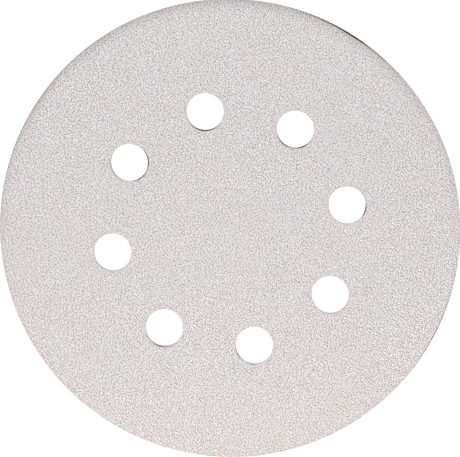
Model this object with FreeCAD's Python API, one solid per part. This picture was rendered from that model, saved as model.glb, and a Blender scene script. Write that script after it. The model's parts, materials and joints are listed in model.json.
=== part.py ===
import FreeCAD, Part
import math
import os

# Hook and loop sanding disc. Lengths are in millimetres.
# The disc lies flat on its loop side, with +Z out of the abrasive face. The origin is the middle
# of the disc on the plane that the pile rests on, and one dust hole is centred on the +X axis.

# Outline, shared by every layer
disc_diameter = 125.0
hole_count = 8
hole_diameter = 10.0
hole_circle_diameter = 65.0

# Layers, from the abrasive face down
coat_thickness = 0.35
paper_thickness = 0.25
ground_thickness = 0.40
pile_height = 0.40

# Corner of the brittle coat, broken off along the rim and round the holes
coat_edge_bevel = 0.12

# Rows of pile on the loop side, flat where they rest and leaning together into narrow valleys
row_pitch = 1.50
crest_width = 0.60

# Heights of the planes on which the layers meet
paper_level = pile_height + ground_thickness
coat_level = paper_level + paper_thickness

UP = FreeCAD.Vector(0, 0, 1)


def circle_wire(x, y, z, diameter):
    return Part.Wire(Part.makeCircle(diameter / 2, FreeCAD.Vector(x, y, z), UP))


def perforated_sheet(bottom, thickness):
    """Flat round sheet with the ring of dust holes cut right through it."""
    wires = [circle_wire(0, 0, bottom, disc_diameter)]
    for k in range(hole_count):
        angle = 2 * math.pi * k / hole_count
        x = hole_circle_diameter / 2 * math.cos(angle)
        y = hole_circle_diameter / 2 * math.sin(angle)
        wires.append(circle_wire(x, y, bottom, hole_diameter))
    return Part.Face(wires, "Part::FaceMakerBullseye").extrude(UP * thickness)


def is_circle_at(edge, height):
    return isinstance(edge.Curve, Part.Circle) and abs(edge.Curve.Center.z - height) < 1e-6


def grit_coat():
    """Grain and resin, a brittle skin whose upper corners are broken by the cutting die."""
    sheet = perforated_sheet(coat_level, coat_thickness)
    corners = [edge for edge in sheet.Edges if is_circle_at(edge, coat_level + coat_thickness)]
    return sheet.makeChamfer(coat_edge_bevel, corners)


def backing_paper():
    return perforated_sheet(paper_level, paper_thickness)


def pile_section():
    """Section across the rows: crests on the resting plane, valleys, and the knit ground above."""
    reach = math.ceil(disc_diameter / 2 / row_pitch)
    points = [FreeCAD.Vector(0, -(reach + 0.5) * row_pitch, pile_height)]
    for k in range(-reach, reach + 1):
        middle = k * row_pitch
        points.append(FreeCAD.Vector(0, middle - crest_width / 2, 0))
        points.append(FreeCAD.Vector(0, middle + crest_width / 2, 0))
        points.append(FreeCAD.Vector(0, middle + row_pitch / 2, pile_height))
    points.append(FreeCAD.Vector(0, points[-1].y, paper_level))
    points.append(FreeCAD.Vector(0, points[0].y, paper_level))
    return Part.Face(Part.makePolygon(points + points[:1]))


def backing_fabric():
    """Knitted loop fabric: parallel rows of pile, cut off by the rim and by the dust holes."""
    section = pile_section()
    section.translate(FreeCAD.Vector(-disc_diameter, 0, 0))
    rows = section.extrude(FreeCAD.Vector(2 * disc_diameter, 0, 0))
    return perforated_sheet(0, paper_level).common(rows)


def single_solid(shape):
    solids = shape.Solids
    if len(solids) != 1 or not solids[0].isValid():
        raise ValueError("a layer of the disc isn't one valid solid")
    return solids[0]


def main():
    os.makedirs("parts", exist_ok=True)
    layers = {
        "grit_coat": grit_coat(),
        "backing_paper": backing_paper(),
        "backing_fabric": backing_fabric(),
    }
    for name, shape in layers.items():
        solid = single_solid(shape)
        solid.exportStep(f"parts/{name}.step")
        box = solid.BoundBox
        print(f"{name}: {solid.Volume:.1f} mm3, z {box.ZMin:.3f} to {box.ZMax:.3f}")


main()
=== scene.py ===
import json
import math

import bpy
import numpy as np
from mathutils import Matrix, Vector
from mathutils.geometry import delaunay_2d_cdt


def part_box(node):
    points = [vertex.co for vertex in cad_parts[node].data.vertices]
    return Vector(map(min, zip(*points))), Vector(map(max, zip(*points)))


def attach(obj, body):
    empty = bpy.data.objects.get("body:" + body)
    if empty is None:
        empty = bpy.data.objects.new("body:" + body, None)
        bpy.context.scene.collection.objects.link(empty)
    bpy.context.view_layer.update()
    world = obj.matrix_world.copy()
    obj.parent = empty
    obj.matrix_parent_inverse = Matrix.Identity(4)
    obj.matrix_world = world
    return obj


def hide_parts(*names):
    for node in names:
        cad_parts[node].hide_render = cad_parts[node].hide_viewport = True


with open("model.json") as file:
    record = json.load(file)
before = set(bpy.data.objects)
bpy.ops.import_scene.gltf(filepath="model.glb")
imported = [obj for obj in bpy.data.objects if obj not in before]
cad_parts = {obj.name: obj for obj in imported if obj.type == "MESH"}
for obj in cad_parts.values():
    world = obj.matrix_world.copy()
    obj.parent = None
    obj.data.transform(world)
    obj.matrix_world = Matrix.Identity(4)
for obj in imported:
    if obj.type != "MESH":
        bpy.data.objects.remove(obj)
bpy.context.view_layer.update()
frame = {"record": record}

# A hook and loop sanding disc, lying on its loop side. Meshes are worked out in millimetres and
# scaled to metres as they are made.
MM = 0.001

# Sizes that come with the frame
coat_low, coat_high = (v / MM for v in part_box("grit_coat"))
fabric_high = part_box("backing_fabric")[1] / MM
dust_holes = next(m for m in frame["record"]["mounts"] if m["name"] == "dust_holes")["dims"]
RIM = coat_high.x
HOLE = dust_holes["hole_r_mm"]
TURNS = 2 * math.pi * np.arange(dust_holes["count"]) / dust_holes["count"]
HOLE_CENTRES = dust_holes["pcd_mm"] / 2 * np.stack([np.cos(TURNS), np.sin(TURNS)], 1)

# The coat: a bed of resin with angular grains standing in it up to the top plane. A jitter is a
# share of the spacing.
BED_SPACING = 0.80
BED_EDGE_SPACING = 0.64
BED_JITTER = 0.25
BED_DEPTH = 0.22
BED_RELIEF = 0.03
EDGE_INSET = 0.12
EDGE_DROP = 0.04
GRAIN_SPACING = 0.425
GRAIN_JITTER = 0.26
GRAIN_SIZE = (0.235, 0.247)
GRAIN_STRETCH = (0.92, 1.08)
GRAIN_SKEW = 0.10
GRAIN_HEIGHT = 0.66
GRAIN_TOP_SPREAD = 0.05
GRAIN_TOP_DROP = 0.18
GRAIN_BOTTOM = 0.02
GRAIN_MARGIN = 0.015
GRAIN_PIECES = 4

# A grain before it is stretched, skewed and turned: an octahedron's tips, and its sides by tip
GRAIN_TIPS = np.array([[1, 0, 0], [0, 1, 0], [-1, 0, 0], [0, -1, 0], [0, 0, 1], [0, 0, -1]], float)
GRAIN_SIDES = np.array(
    [[0, 1, 4], [1, 2, 4], [2, 3, 4], [3, 0, 4], [1, 0, 5], [2, 1, 5], [3, 2, 5], [0, 3, 5]]
)

# The paper: how far apart the points of its outline are
PAPER_SPACING = 0.50

# The loop fabric: a knit ground, swelling under each row and fused to a lip at the cuts
ROW_PITCH = 1.5
PILE_HEIGHT = 0.40
KNIT_SPACING = 1.35
KNIT_LINES_IN_ROW = 4
KNIT_RELIEF = 0.015
ROW_SWELL = 0.10
LIP_SPACING = 0.40
LIP_WIDTH = 0.20
LIP_HEIGHT = 0.12
LIP_RELIEF = 0.03

# The loops of yarn in each row: tubes that bend at a few steps and hang just clear of the floor
LOOP_SPACING = 0.75
LOOP_INSET = 0.35
LOOP_WANDER = (LOOP_SPACING / 4, 0.26)
LOOP_TURN = 0.65
LOOP_LEAN = 0.15
LOOP_BOW_POWER = 0.7
LOOP_WIDTH = (0.60, 1.10)
LOOP_LIFT = (0.005, 0.06)
YARN_RADIUS = (0.075, 0.105)
LOOP_STEPS, LOOP_SIDES = 5, 3
LOOP_MARGIN = 0.01
FLOOR_GAP = 0.004
LOOP_PIECES = 2

# Colours
# The bed's tone is the resin's own darker colour and painted shade between the grains
RESIN_AND_GAP_SHADE_DARK, RESIN_AND_GAP_SHADE_LIGHT = (0.28, 0.256, 0.252, 1), (0.48, 0.446, 0.442, 1)
GRAIN_DARK, GRAIN_LIGHT = (0.88, 0.862, 0.854, 1), (0.97, 0.962, 0.962, 1)
COOL_TINT, WARM_TINT = (0.977, 0.977, 0.993, 1), (0.997, 0.955, 0.953, 1)
SMEARED_STEARATE = (0.84, 0.80, 0.78, 1)
BLUSH = (0.70, 0.56, 0.53, 1)
# Tint of the painted shade in from the rim
RIM_SHADE_TINT = (0.77, 0.74, 0.735, 1)
PAPER_DARK, PAPER_LIGHT = (0.70, 0.66, 0.61, 1), (0.84, 0.80, 0.75, 1)
KNIT_DARK, KNIT_LIGHT, KNIT_WARM = (0.56, 0.55, 0.52, 1), (0.80, 0.79, 0.76, 1), (0.60, 0.58, 0.54, 1)
PILE_DARK, PILE_LIGHT, PILE_WARM = (0.76, 0.75, 0.72, 1), (0.92, 0.91, 0.88, 1), (0.78, 0.75, 0.70, 1)
VALLEY_SHADE = (0.34, 0.33, 0.31, 1)
# Paler yarn at the cut, partly painted light lifting the shade on the wall
TRIMMED_YARN_AND_PAINTED_LIGHT = (0.92, 0.91, 0.88, 1)
# Near-black for the char along the cuts and for the painted shade on their arcs
CHAR_AND_PAINTED_SHADE = (0.020, 0.018, 0.017, 1)

# A faint char along every cut, and arcs of painted shade where the edges and walls fall dark: the
# cut, with 0 for the rim and then the holes in turn, the direction on it in the picture, the half
# width of the arc, both in degrees, and how strongly. Past 1 the darkening gets wider, not darker.
SCORCH_EVERYWHERE = 0.10
EDGE_SHADE_ARCS = [
    (0, 60, 12.5, 0.85),
    (0, 57.8, 2.6, 1.50),
    (0, 150, 22, 0.35),
    (0, 333, 12, 0.60),
    (1, 345, 16, 2.00),
    (2, 228, 26, 0.75),
    (2, 294, 26, 0.95),
    (3, 272, 46, 1.00),
    (4, 8, 30, 1.40),
    (4, 200, 40, 0.35),
    (4, 308, 24, 0.85),
    (5, 240, 45, 0.20),
    (6, 258, 32, 0.72),
    (7, 208, 22, 0.45),
    (7, 264, 12, 0.40),
    (8, 290, 50, 0.18),
]

# How far a painted shade goes in from the rim, the direction in the picture where it is strongest,
# and its strength: the mean over the rim, and how much more it is on that side
RIM_SHADE_REACH = 4.0
RIM_SHADE_DIRECTION = math.radians(98)
RIM_SHADE_MEAN, RIM_SHADE_SWING = 0.22, 0.75

# How far from a cut each change of colour is whole, and where it has ended
SMEAR_REACH = (0.10, 0.28)
BLUSH_REACH = (0.0, 2.0)
TRIM_AND_LIGHT_REACH = (0.0, 0.10)
COAT_CHAR_SHADE_REACH = (0.08, 0.40)
PAPER_CHAR_SHADE_REACH = (0.3, 0.6)
YARN_CHAR_SHADE_REACH = (0.10, 0.55)
BLUSH_SHARE = 0.16

# The specular level of the disc's surfaces, which are all matt
MATT = 0.1

# The unwrapped picture of a piece, 1 on a side: the disc with a margin round it in millimetres, and
# in the lower left corner a small copy for the faces turned away. A face is steep or turned away
# where the upward part of its normal is below a limit.
MAP_MARGIN = 1.0
CORNER_SHARE, CORNER_MIDDLE = 0.14, 0.075
STEEP, TURNED_AWAY = 0.3, -0.1

# The photograph's view: nearly straight down, with a long lens
IMAGE_WIDTH = 460
PIXELS_PER_MM = 3.6935
VIEW_TILT = math.radians(8.1)
VIEW_AZIMUTH = math.radians(47.7)
VIEW_ROLL = math.radians(11.61)
LENS_MM = 1000
SENSOR_MM = 36
CLIP_METRES = (0.01, 100)
DISC_CENTRE_PX = (-0.35, 0.40)

# The light: two soft lamps of one size and distance, and a plain white room. Lengths in metres.
LAMP_DISTANCE, LAMP_SIZE = 0.50, 0.25
ROOM_LIGHT = 0.40
FLOOR_SIDE = 40
FLOOR_GREY, FLOOR_GLOW = 0.60, 0.80

# Seed of the random draws, how close two points of a plan count as one, and a length too short to
# divide by
SEED = 20
MERGE_DISTANCE = 1e-6
TINY = 1e-9


def edge_distance(points):
    """How far each point lies inside the nearest cut edge, rim or hole, in millimetres."""
    inside = RIM - np.hypot(points[:, 0], points[:, 1])
    for centre in HOLE_CENTRES:
        away = points[:, :2] - centre
        inside = np.minimum(inside, np.hypot(away[:, 0], away[:, 1]) - HOLE)
    return inside


def char_and_shade_amount(points):
    """How strongly the cut that each point is nearest to is darkened: a faint char all round, and painted
    shade on its arcs.
    """
    centres = np.vstack([np.zeros(2), HOLE_CENTRES])
    away = points[:, None, :2] - centres
    reach = np.hypot(away[..., 0], away[..., 1])
    gap = np.column_stack([RIM - reach[:, 0], reach[:, 1:] - HOLE])
    cut = gap.argmin(1)
    mine = away[np.arange(len(points)), cut]
    turn = np.degrees(np.arctan2(mine[:, 1], mine[:, 0]) + VIEW_ROLL)
    amount = np.full(len(points), SCORCH_EVERYWHERE)
    # Arcs of painted shade where the edges and walls fall dark
    for number, middle, half, strength in EDGE_SHADE_ARCS:
        off = (turn - middle + 180) % 360 - 180
        amount += np.where(cut == number, strength * np.exp(-((off / half) ** 2)), 0)
    return amount


def rim_shade_amount(points):
    """How strongly painted shade darkens the disc at each point, from the rim inwards."""
    inside = RIM - np.hypot(points[:, 0], points[:, 1])
    turn = np.arctan2(points[:, 1], points[:, 0]) + VIEW_ROLL
    side = (RIM_SHADE_MEAN + RIM_SHADE_SWING * np.cos(turn - RIM_SHADE_DIRECTION)).clip(0, None)
    return side * (1 - inside / RIM_SHADE_REACH).clip(0, 1) ** 2


def pulled_inside(points, margin):
    """The same points, with those past a cut edge moved back to it, as the die trims them."""
    points = points.copy()
    reach = np.hypot(points[:, 0], points[:, 1])
    points[:, :2] *= np.minimum(1, (RIM - margin) / np.maximum(reach, TINY))[:, None]
    for centre in HOLE_CENTRES:
        away = points[:, :2] - centre
        reach = np.hypot(away[:, 0], away[:, 1])
        grow = np.maximum(1, (HOLE + margin) / np.maximum(reach, TINY))
        points[:, :2] = centre + away * grow[:, None]
    return points


def grid_points(step_x, step_y, jitter, rng):
    """Points of a staggered grid over the disc, each moved by up to jitter of a step."""
    rows = np.arange(-math.ceil(RIM / step_y), math.ceil(RIM / step_y) + 1)
    columns = np.arange(-math.ceil(RIM / step_x) - 1, math.ceil(RIM / step_x) + 2)
    row, column = np.meshgrid(rows, columns, indexing="ij")
    x = (column + (row % 2) / 2) * step_x
    points = np.stack([x.ravel(), (row * step_y).ravel()], 1)
    return points + rng.uniform(-jitter, jitter, points.shape) * (step_x, step_y)


def hexagonal_points(spacing, jitter, rng):
    """Grid points that are all about spacing apart."""
    return grid_points(spacing, spacing * math.sqrt(0.75), jitter, rng)


def circle_points(centre, radius, spacing):
    turn = np.linspace(0, 2 * math.pi, round(2 * math.pi * radius / spacing), endpoint=False)
    return centre + radius * np.stack([np.cos(turn), np.sin(turn)], 1)


def cut_circles(inset, spacing):
    """The rim and the holes as rings of points, moved into the material by inset."""
    rings = [circle_points(np.zeros(2), RIM - inset, spacing)]
    return rings + [circle_points(c, HOLE + inset, spacing) for c in HOLE_CENTRES]


def triangulated(points, rings):
    """Triangles over the points and rings, without those in the holes."""
    corners = [Vector(p) for p in np.vstack([points, *rings]).tolist()]
    edges, start = [], len(points)
    for ring in rings:
        edges += [(start + k, start + (k + 1) % len(ring)) for k in range(len(ring))]
        start += len(ring)
    found, _, faces, *_ = delaunay_2d_cdt(corners, edges, [], 0, MERGE_DISTANCE)
    plan = np.array([p[:] for p in found])
    faces = np.array(faces)
    return plan, faces[edge_distance(plan[faces].mean(1)) > 0]


def slab(inner, ring_sets, top, bottom):
    """A closed sheet. Its top side has the inner points and every ring, its bottom only the outline.

    top and bottom give the heights of the points passed to them.
    """
    outline = ring_sets[0]
    rings = [ring for rings in ring_sets[1:] for ring in rings] + outline
    upper, upper_faces = triangulated(inner, rings)
    lower, lower_faces = triangulated(np.zeros((0, 2)), outline)
    first = len(upper) - len(lower)
    points = np.vstack([np.column_stack([upper, top(upper)]), np.column_stack([lower, bottom(lower)])])
    faces = [upper_faces, lower_faces[:, ::-1] + len(upper)]
    start = 0
    for number, ring in enumerate(outline):
        here = start + np.arange(len(ring))
        after = start + np.roll(np.arange(len(ring)), -1)
        if number > 0:
            here, after = after, here
        low, high = len(upper), first
        faces.append(np.column_stack([low + here, low + after, high + after]))
        faces.append(np.column_stack([low + here, high + after, high + here]))
        start += len(ring)
    return points, np.vstack(faces)


def new_piece(name, points, faces, node):
    """A mesh object of triangles that shows in place of a node's solid.

    Its points keep their distance from the cuts, their char and painted edge shade, and their painted rim
    shade for its material.
    """
    fabric = node == "backing_fabric"
    mesh = bpy.data.meshes.new(name)
    mesh.from_pydata((points * MM).tolist(), [], faces.tolist())
    mesh.validate()
    mesh.polygons.foreach_set("use_smooth", np.full(len(mesh.polygons), fabric))
    marks = {"cut_edge": edge_distance, "char_and_shade": char_and_shade_amount, "rim_shade": rim_shade_amount}
    for key, amount in marks.items():
        layer = mesh.attributes.new(key, "FLOAT", "POINT")
        layer.data.foreach_set("value", amount(points).astype(np.float32))
    plan_map(mesh, -1 if fabric else 1)
    piece = bpy.data.objects.new(name, mesh)
    bpy.context.collection.objects.link(piece)
    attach(piece, "root")
    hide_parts(node)
    return piece


def shell_pieces(name, count, shells, faces, margin, node):
    """Many small closed shells with the same faces, dealt out over count mesh objects."""
    pieces = []
    for number in range(count):
        mine = shells[number::count]
        points = pulled_inside(mine.reshape(-1, 3), margin)
        points[:, 2] = points[:, 2].clip(FLOOR_GAP, None)
        first = shells.shape[1] * np.arange(len(mine))
        all_faces = (faces[None] + first[:, None, None]).reshape(-1, 3)
        pieces.append(new_piece(f"{name}_{number + 1}", points, all_faces, node))
    return pieces


def plan_map(mesh, upward):
    """Unwraps a flat piece as seen from its show side, which is the upper one if upward is 1."""
    count = len(mesh.loops)
    corner_vertex = np.empty(count, np.int32)
    mesh.loops.foreach_get("vertex_index", corner_vertex)
    places = np.empty(len(mesh.vertices) * 3, np.float32)
    mesh.vertices.foreach_get("co", places)
    normals = np.empty(len(mesh.polygons) * 3, np.float32)
    mesh.polygons.foreach_get("normal", normals)
    places = places.reshape(-1, 3)[corner_vertex] / MM
    normals = np.repeat(normals.reshape(-1, 3), 3, axis=0)
    depth = (places[:, 2].max() - places[:, 2])[:, None]
    steep = np.abs(normals[:, 2:]) < STEEP
    spread = places[:, :2] + np.where(steep, normals[:, :2] * depth, 0)
    shown = normals[:, 2:] * upward > TURNED_AWAY
    size = np.where(shown, 1, CORNER_SHARE) / (2 * (RIM + MAP_MARGIN))
    middle = np.where(shown, 0.5, CORNER_MIDDLE)
    layer = mesh.uv_layers.new(name="OFBake", do_init=False)
    layer.uv.foreach_set("vector", (middle + spread * size).astype(np.float32).ravel())


def coat_bed(rng):
    """The resin bed between the grains, with its corners broken along the cuts."""
    inner = hexagonal_points(BED_SPACING, BED_JITTER, rng)
    inner = inner[edge_distance(inner) > EDGE_INSET + BED_SPACING / 2]
    outline = cut_circles(0, BED_EDGE_SPACING)
    shoulder = cut_circles(EDGE_INSET, BED_EDGE_SPACING)

    def top(plan):
        level = coat_high.z - BED_DEPTH + rng.uniform(-BED_RELIEF, BED_RELIEF, len(plan))
        return level - np.where(edge_distance(plan) < EDGE_INSET / 2, EDGE_DROP, 0)

    def bottom(plan):
        return np.full(len(plan), coat_low.z)

    points, faces = slab(inner, [outline, shoulder], top, bottom)
    return new_piece("grit_bed", points, faces, "grit_coat")


def random_turns(count, rng):
    """Rotation matrices evenly spread over every direction."""
    w, x, y, z = rng.normal(size=(4, count))
    length = np.sqrt(w * w + x * x + y * y + z * z)
    w, x, y, z = w / length, x / length, y / length, z / length
    rows = [
        [1 - 2 * (y * y + z * z), 2 * (x * y - w * z), 2 * (x * z + w * y)],
        [2 * (x * y + w * z), 1 - 2 * (x * x + z * z), 2 * (y * z - w * x)],
        [2 * (x * z - w * y), 2 * (y * z + w * x), 1 - 2 * (x * x + y * y)],
    ]
    return np.array(rows).transpose(2, 0, 1)


def grains(rng):
    """Crushed grains, each a small lopsided eight-sided solid sunk into the bed."""
    centres = hexagonal_points(GRAIN_SPACING, GRAIN_JITTER, rng)
    centres = centres[edge_distance(centres) > EDGE_INSET]
    count = len(centres)
    size = rng.uniform(*GRAIN_SIZE, (count, 1, 1))
    stretch = rng.uniform(*GRAIN_STRETCH, (count, len(GRAIN_TIPS), 1))
    skew = rng.uniform(-GRAIN_SKEW, GRAIN_SKEW, (count, *GRAIN_TIPS.shape))
    shapes = (GRAIN_TIPS * stretch + skew) * size
    shapes = np.einsum("nij,nkj->nki", random_turns(count, rng), shapes) * (1, 1, GRAIN_HEIGHT)
    peak = coat_high.z - np.abs(rng.normal(0, GRAIN_TOP_SPREAD, count)).clip(0, GRAIN_TOP_DROP)
    shapes[:, :, 2] += (peak - shapes[:, :, 2].max(1))[:, None]
    shapes[:, :, 2] = shapes[:, :, 2].clip(coat_low.z + GRAIN_BOTTOM, None)
    shapes[:, :, :2] += centres[:, None]
    return shell_pieces("grit_grains", GRAIN_PIECES, shapes, GRAIN_SIDES, GRAIN_MARGIN, "grit_coat")


def paper_sheet():
    """The paper, flat between the coat and the fabric."""
    low, high = (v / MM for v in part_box("backing_paper"))
    points, faces = slab(
        np.zeros((0, 2)),
        [cut_circles(0, PAPER_SPACING)],
        lambda plan: np.full(len(plan), high.z),
        lambda plan: np.full(len(plan), low.z),
    )
    return new_piece("paper_sheet", points, faces, "backing_paper")


def knit_ground(rng):
    """The ground of the fabric. It is worked out face up, as a slab is, and then turned over."""
    inner = grid_points(KNIT_SPACING, ROW_PITCH / KNIT_LINES_IN_ROW, 0.0, rng)
    inner = inner[edge_distance(inner) > 2 * LIP_WIDTH]
    outline = cut_circles(0, LIP_SPACING)
    shoulder = cut_circles(LIP_WIDTH, LIP_SPACING)

    def lower_side(plan):
        rows = np.cos(2 * math.pi * plan[:, 1] / ROW_PITCH)
        level = PILE_HEIGHT - ROW_SWELL * rows + rng.uniform(-KNIT_RELIEF, KNIT_RELIEF, len(plan))
        lip = LIP_HEIGHT + rng.uniform(-LIP_RELIEF, LIP_RELIEF, len(plan))
        return -np.where(edge_distance(plan) < LIP_WIDTH / 2, lip, level)

    def upper_side(plan):
        return np.full(len(plan), -fabric_high.z)

    points, faces = slab(inner, [outline, shoulder], lower_side, upper_side)
    points[:, 2] *= -1
    return new_piece("knit_ground", points, faces[:, ::-1], "backing_fabric")


def loop_paths(rng):
    """The middle line of each loop, from foot to foot, with its level sideways direction and radius."""
    feet = grid_points(LOOP_SPACING, ROW_PITCH, 0.0, rng)
    feet += rng.uniform(-1, 1, feet.shape) * LOOP_WANDER
    feet = feet[edge_distance(feet) > LOOP_INSET]
    count = len(feet)
    heading = rng.normal(0, LOOP_TURN, count)
    along = np.stack([np.cos(heading), np.sin(heading), np.zeros(count)], 1)
    across = np.stack([-np.sin(heading), np.cos(heading), np.zeros(count)], 1)
    width = rng.uniform(*LOOP_WIDTH, count)
    lean = rng.normal(0, LOOP_LEAN, count)
    radius = rng.uniform(*YARN_RADIUS, count)
    tip = radius + rng.uniform(*LOOP_LIFT, count)
    turn = math.pi * np.linspace(0, 1, LOOP_STEPS)
    swing = -np.cos(turn)[None, :] * width[:, None] / 2
    bow = np.sin(turn)[None, :] ** LOOP_BOW_POWER
    path = along[:, None] * swing[..., None] + across[:, None] * (bow * lean[:, None])[..., None]
    path[:, :, :2] += feet[:, None]
    path[:, :, 2] = PILE_HEIGHT - bow * (PILE_HEIGHT - tip)[:, None]
    return path, across, radius


def tubes(path, across, radius):
    """The points of a tube round each path, ring after ring."""
    tangent = np.gradient(path, axis=1)
    tangent /= np.linalg.norm(tangent, axis=2, keepdims=True)
    side = np.cross(tangent, np.broadcast_to(across[:, None], path.shape))
    side /= np.linalg.norm(side, axis=2, keepdims=True)
    other = np.cross(tangent, side)
    angle = 2 * math.pi * np.arange(LOOP_SIDES) / LOOP_SIDES
    rings = side[:, :, None] * np.cos(angle)[:, None] + other[:, :, None] * np.sin(angle)[:, None]
    return (path[:, :, None] + rings * radius[:, None, None, None]).reshape(len(path), -1, 3)


def tube_faces():
    """The faces of one tube, closed at both ends."""
    faces = []
    for step in range(LOOP_STEPS - 1):
        low, high = step * LOOP_SIDES, (step + 1) * LOOP_SIDES
        for a in range(LOOP_SIDES):
            b = (a + 1) % LOOP_SIDES
            faces += [(low + a, low + b, high + b), (low + a, high + b, high + a)]
    last = (LOOP_STEPS - 1) * LOOP_SIDES
    for a in range(1, LOOP_SIDES - 1):
        faces += [(a + 1, a, 0), (last, last + a, last + a + 1)]
    return np.array(faces)


def pile_loops(rng):
    """Loops of yarn under the ground, in rows, leaning and twisted a little at random."""
    shells = tubes(*loop_paths(rng))
    return shell_pieces("pile_loops", LOOP_PIECES, shells, tube_faces(), LOOP_MARGIN, "backing_fabric")


def add(tree, kind, settings=None, **inputs):
    """A shader node with its settings, and its inputs set to values or linked to sockets."""
    node = tree.nodes.new(kind)
    for key, value in (settings or {}).items():
        setattr(node, key, value)
    for key, value in inputs.items():
        socket = node.inputs[int(key[1:])] if key[0] == "_" else node.inputs[key.replace("_", " ")]
        if isinstance(value, bpy.types.NodeSocket):
            tree.links.new(value, socket)
        else:
            socket.default_value = value
    return node


def maths(tree, operation, a, b=0.0, c=0.0):
    return add(tree, "ShaderNodeMath", {"operation": operation}, _0=a, _1=b, _2=c).outputs[0]


def blended(tree, factor, a, b, mode="MIX"):
    node = add(tree, "ShaderNodeMix", {"data_type": "RGBA", "blend_type": mode}, _0=factor, _6=a, _7=b)
    return node.outputs[2]


def eased(tree, value, low, high, start=0.0, end=1.0):
    """value's place between low and high as a number from start to end, smoothly."""
    node = add(tree, "ShaderNodeMapRange", {"interpolation_type": "SMOOTHSTEP"}, Value=value)
    node.inputs["From Min"].default_value = low
    node.inputs["From Max"].default_value = high
    node.inputs["To Min"].default_value = start
    node.inputs["To Max"].default_value = end
    return node.outputs[0]


def millimetres(tree):
    """The place on the part, in millimetres."""
    place = add(tree, "ShaderNodeTexCoord").outputs["Object"]
    scaled = add(tree, "ShaderNodeVectorMath", {"operation": "SCALE"}, _0=place, Scale=1 / MM)
    return scaled.outputs[0]


def noise(tree, place, per_mm, detail, roughness):
    node = add(tree, "ShaderNodeTexNoise", Vector=place, Scale=per_mm, Detail=detail, Roughness=roughness)
    return node.outputs["Fac"]


def stretched(tree, place, factors):
    """place with its axes multiplied, which draws a noise out along those with low factors."""
    node = add(tree, "ShaderNodeVectorMath", {"operation": "MULTIPLY"}, _0=place, _1=factors)
    return node.outputs[0]


def bumped(tree, height, strength, depth):
    """A normal for a surface whose height varies over depth millimetres."""
    node = add(tree, "ShaderNodeBump", Strength=strength, Distance=depth * MM, Height=height)
    return node.outputs["Normal"]


def new_material(name):
    material = bpy.data.materials.new(name)
    material.use_nodes = True
    tree = material.node_tree
    return material, tree, tree.nodes["Principled BSDF"]


def kept(tree, name):
    """A number kept on the mesh's points."""
    return add(tree, "ShaderNodeAttribute", {"attribute_name": name}).outputs["Fac"]


def near_cut(tree, reach):
    """1 as far from the nearest cut as reach[0], and then falling to 0 at reach[1]."""
    return eased(tree, kept(tree, "cut_edge"), reach[0], reach[1], start=1.0, end=0.0)


def charred_and_shaded(tree, colour, reach):
    """colour, darkened within reach of the cuts by char, and by painted shade on the arcs where the edges
    fall dark.
    """
    dark_amount = maths(tree, "MULTIPLY", near_cut(tree, reach), kept(tree, "char_and_shade"))
    share = add(tree, "ShaderNodeClamp", Value=dark_amount).outputs[0]
    return blended(tree, share, colour, CHAR_AND_PAINTED_SHADE)


def matt_surface(tree, shader, colour, roughness, normal):
    """Links what a surface is made of to its shader."""
    tree.links.new(colour, shader.inputs["Base Color"])
    tree.links.new(roughness, shader.inputs["Roughness"])
    tree.links.new(normal, shader.inputs["Normal"])
    shader.inputs["Specular IOR Level"].default_value = MATT


def stearate_material(name, island_share, dark, light):
    """Powdery white film over grey grain, in faint warm and cool clouds, smeared at the cuts.

    island_share is how much of its tone each grain has of its own, and the rest varies over it.
    """
    material, tree, shader = new_material(name)
    place = millimetres(tree)
    specks = eased(tree, noise(tree, place, per_mm=4.2, detail=1.0, roughness=0.6), 0.30, 0.70)
    island = add(tree, "ShaderNodeNewGeometry").outputs["Random Per Island"]
    mine = maths(tree, "MULTIPLY", island, island_share)
    tone = maths(tree, "ADD", mine, maths(tree, "MULTIPLY", specks, 1 - island_share))
    film = blended(tree, tone, dark, light)
    clouds = eased(tree, noise(tree, place, per_mm=0.34, detail=3.0, roughness=0.6), 0.35, 0.65)
    tint = blended(tree, clouds, COOL_TINT, WARM_TINT)
    colour = blended(tree, 1.0, film, tint, "MULTIPLY")
    colour = blended(tree, near_cut(tree, SMEAR_REACH), colour, SMEARED_STEARATE)
    blush = maths(tree, "MULTIPLY", near_cut(tree, BLUSH_REACH), BLUSH_SHARE)
    colour = blended(tree, blush, colour, BLUSH)
    # Painted shade in from the rim, strongest on one side of the picture
    colour = blended(tree, kept(tree, "rim_shade"), colour, RIM_SHADE_TINT, "MULTIPLY")
    colour = charred_and_shaded(tree, colour, COAT_CHAR_SHADE_REACH)
    roughness = eased(tree, specks, 0.0, 1.0, start=0.78, end=0.95)
    grit = noise(tree, place, per_mm=9.0, detail=3.0, roughness=0.6)
    matt_surface(tree, shader, colour, roughness, bumped(tree, grit, strength=0.5, depth=0.03))
    return material


def paper_material():
    """Resin-soaked paper, seen only at its cut edge, where it is pale brown, darkened by char and by
    painted shade.
    """
    material, tree, shader = new_material("paper_char_and_shade")
    place = millimetres(tree)
    fibres = stretched(tree, place, (1.0, 1.0, 9.0))
    streaks = noise(tree, fibres, per_mm=2.5, detail=4.0, roughness=0.65)
    colour = blended(tree, eased(tree, streaks, 0.35, 0.7), PAPER_DARK, PAPER_LIGHT)
    colour = charred_and_shaded(tree, colour, PAPER_CHAR_SHADE_REACH)
    roughness = eased(tree, streaks, 0.3, 0.7, start=0.7, end=0.95)
    matt_surface(tree, shader, colour, roughness, bumped(tree, streaks, strength=0.5, depth=0.04))
    return material


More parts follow.
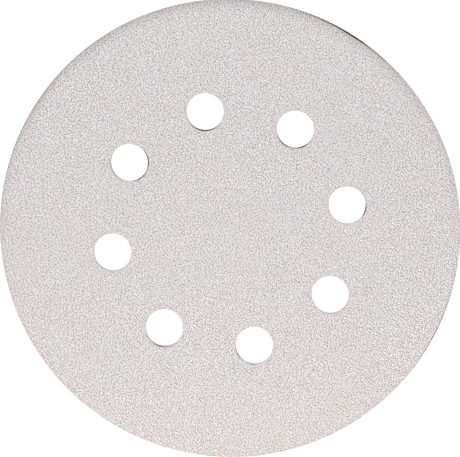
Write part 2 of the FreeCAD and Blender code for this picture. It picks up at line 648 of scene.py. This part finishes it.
def yarn_material(name, dark, light, warm):
    """Soft off-white yarn with fine filaments, with painted shade in the valleys, paler with painted
    light at the cut wall, and darkened at the cuts by char and painted shade.
    """
    material, tree, shader = new_material(name)
    place = millimetres(tree)
    filaments = stretched(tree, place, (1.0, 5.0, 5.0))
    strands = noise(tree, filaments, per_mm=4.0, detail=3.0, roughness=0.6)
    patches = noise(tree, place, per_mm=0.25, detail=2.0, roughness=0.5)
    colour = blended(tree, eased(tree, strands, 0.35, 0.7), dark, light)
    colour = blended(tree, eased(tree, patches, 0.4, 0.65, start=0.0, end=0.35), colour, warm)
    across = add(tree, "ShaderNodeSeparateXYZ", _0=place).outputs["Y"]
    row = maths(tree, "COSINE", maths(tree, "MULTIPLY", across, 2 * math.pi / ROW_PITCH))
    # Painted shade in the valleys between the rows
    valley = eased(tree, row, -1.0, 0.6, start=0.45, end=0.0)
    colour = blended(tree, valley, colour, VALLEY_SHADE)
    # Paler yarn on the cut wall, partly painted light against its shade
    colour = blended(tree, near_cut(tree, TRIM_AND_LIGHT_REACH), colour, TRIMMED_YARN_AND_PAINTED_LIGHT)
    colour = charred_and_shaded(tree, colour, YARN_CHAR_SHADE_REACH)
    roughness = eased(tree, strands, 0.3, 0.7, start=0.75, end=0.95)
    matt_surface(tree, shader, colour, roughness, bumped(tree, strands, strength=0.4, depth=0.03))
    return material


def look_of_disc():
    """The three layers of the disc, from the face down."""
    rng = np.random.default_rng(SEED)
    bed = coat_bed(rng)
    # The bed's colour holds painted shade in the gaps between the grains
    bed.data.materials.append(stearate_material("stearate_over_resin_and_gap_shade", 0.0, RESIN_AND_GAP_SHADE_DARK, RESIN_AND_GAP_SHADE_LIGHT))
    grain = stearate_material("stearate_over_grain", 0.35, GRAIN_DARK, GRAIN_LIGHT)
    for piece in grains(rng):
        piece.data.materials.append(grain)
    paper_sheet().data.materials.append(paper_material())
    ground = knit_ground(rng)
    ground.data.materials.append(yarn_material("knit_yarn", KNIT_DARK, KNIT_LIGHT, KNIT_WARM))
    yarn = yarn_material("pile_yarn", PILE_DARK, PILE_LIGHT, PILE_WARM)
    loops = pile_loops(rng)
    for piece in loops:
        piece.data.materials.append(yarn)


def strength_by_ray(tree, seen, unseen):
    """A strength: seen for camera, glossy and transmission rays, and unseen for the rest."""
    ray = add(tree, "ShaderNodeLightPath").outputs
    direct = maths(tree, "MAXIMUM", ray["Is Camera Ray"], ray["Is Glossy Ray"])
    direct = maths(tree, "MAXIMUM", direct, ray["Is Transmission Ray"])
    return maths(tree, "ADD", unseen, maths(tree, "MULTIPLY", direct, seen - unseen))


def make_floor():
    """A wide pale floor that comes out white in the picture and keeps the disc's shadow."""
    bpy.ops.mesh.primitive_plane_add(size=FLOOR_SIDE)
    floor = bpy.context.object
    floor.name = "floor"
    material, tree, shader = new_material("pale_floor")
    shader.inputs["Base Color"].default_value = (FLOOR_GREY, FLOOR_GREY, FLOOR_GREY, 1)
    shader.inputs["Roughness"].default_value = 1.0
    shader.inputs["Specular IOR Level"].default_value = 0.0
    shader.inputs["Emission Color"].default_value = (1, 1, 1, 1)
    tree.links.new(strength_by_ray(tree, FLOOR_GLOW, 0.0), shader.inputs["Emission Strength"])
    floor.data.materials.append(material)


def make_world():
    world = bpy.data.worlds.new("studio")
    bpy.context.scene.world = world
    world.use_nodes = True
    tree = world.node_tree
    tree.links.new(strength_by_ray(tree, 1.0, ROOM_LIGHT), tree.nodes["Background"].inputs["Strength"])
    tree.nodes["Background"].inputs["Color"].default_value = (1, 1, 1, 1)


def make_lamp(name, picture_angle, elevation, watts, colour):
    """A square soft lamp that faces the disc, placed by its direction in the picture, in degrees."""
    lamp = bpy.data.lights.new(name, "AREA")
    lamp.size = LAMP_SIZE
    lamp.energy = watts
    lamp.color = colour
    holder = bpy.data.objects.new(name, lamp)
    turn, rise = math.radians(picture_angle) - VIEW_ROLL, math.radians(elevation)
    away = Vector((math.cos(turn) * math.cos(rise), math.sin(turn) * math.cos(rise), math.sin(rise)))
    holder.location = away * LAMP_DISTANCE
    holder.rotation_euler = away.to_track_quat("Z", "Y").to_euler()
    holder.visible_camera = False
    bpy.context.collection.objects.link(holder)


def make_lights():
    make_lamp("key", picture_angle=-90, elevation=42, watts=1.90, colour=(1.0, 0.940, 0.88))
    make_lamp("fill", picture_angle=92, elevation=46, watts=1.16, colour=(0.84, 0.935, 1.0))


def make_camera():
    """The photograph's camera: the disc fills the frame, seen a little from the upper right."""
    camera = bpy.data.objects.new("camera", bpy.data.cameras.new("camera"))
    camera.data.lens = LENS_MM
    camera.data.sensor_width = SENSOR_MM
    frame_width = IMAGE_WIDTH / PIXELS_PER_MM * MM
    distance = frame_width * LENS_MM / SENSOR_MM
    upright = Matrix.Rotation(-VIEW_ROLL, 4, "Z")
    tilt_axis = Vector((-math.sin(VIEW_AZIMUTH), math.cos(VIEW_AZIMUTH), 0))
    turn = Matrix.Rotation(VIEW_TILT, 4, tilt_axis) @ upright
    target = Vector((0, 0, coat_high.z * MM))
    camera.matrix_world = Matrix.Translation(target) @ turn @ Matrix.Translation((0, 0, distance))
    camera.data.shift_x = -DISC_CENTRE_PX[0] / IMAGE_WIDTH
    camera.data.shift_y = DISC_CENTRE_PX[1] / IMAGE_WIDTH
    camera.data.clip_start, camera.data.clip_end = CLIP_METRES
    bpy.context.collection.objects.link(camera)
    bpy.context.scene.camera = camera


look_of_disc()
make_floor()
make_world()
make_lights()
make_camera()
bpy.context.scene.view_settings.view_transform = "Standard"
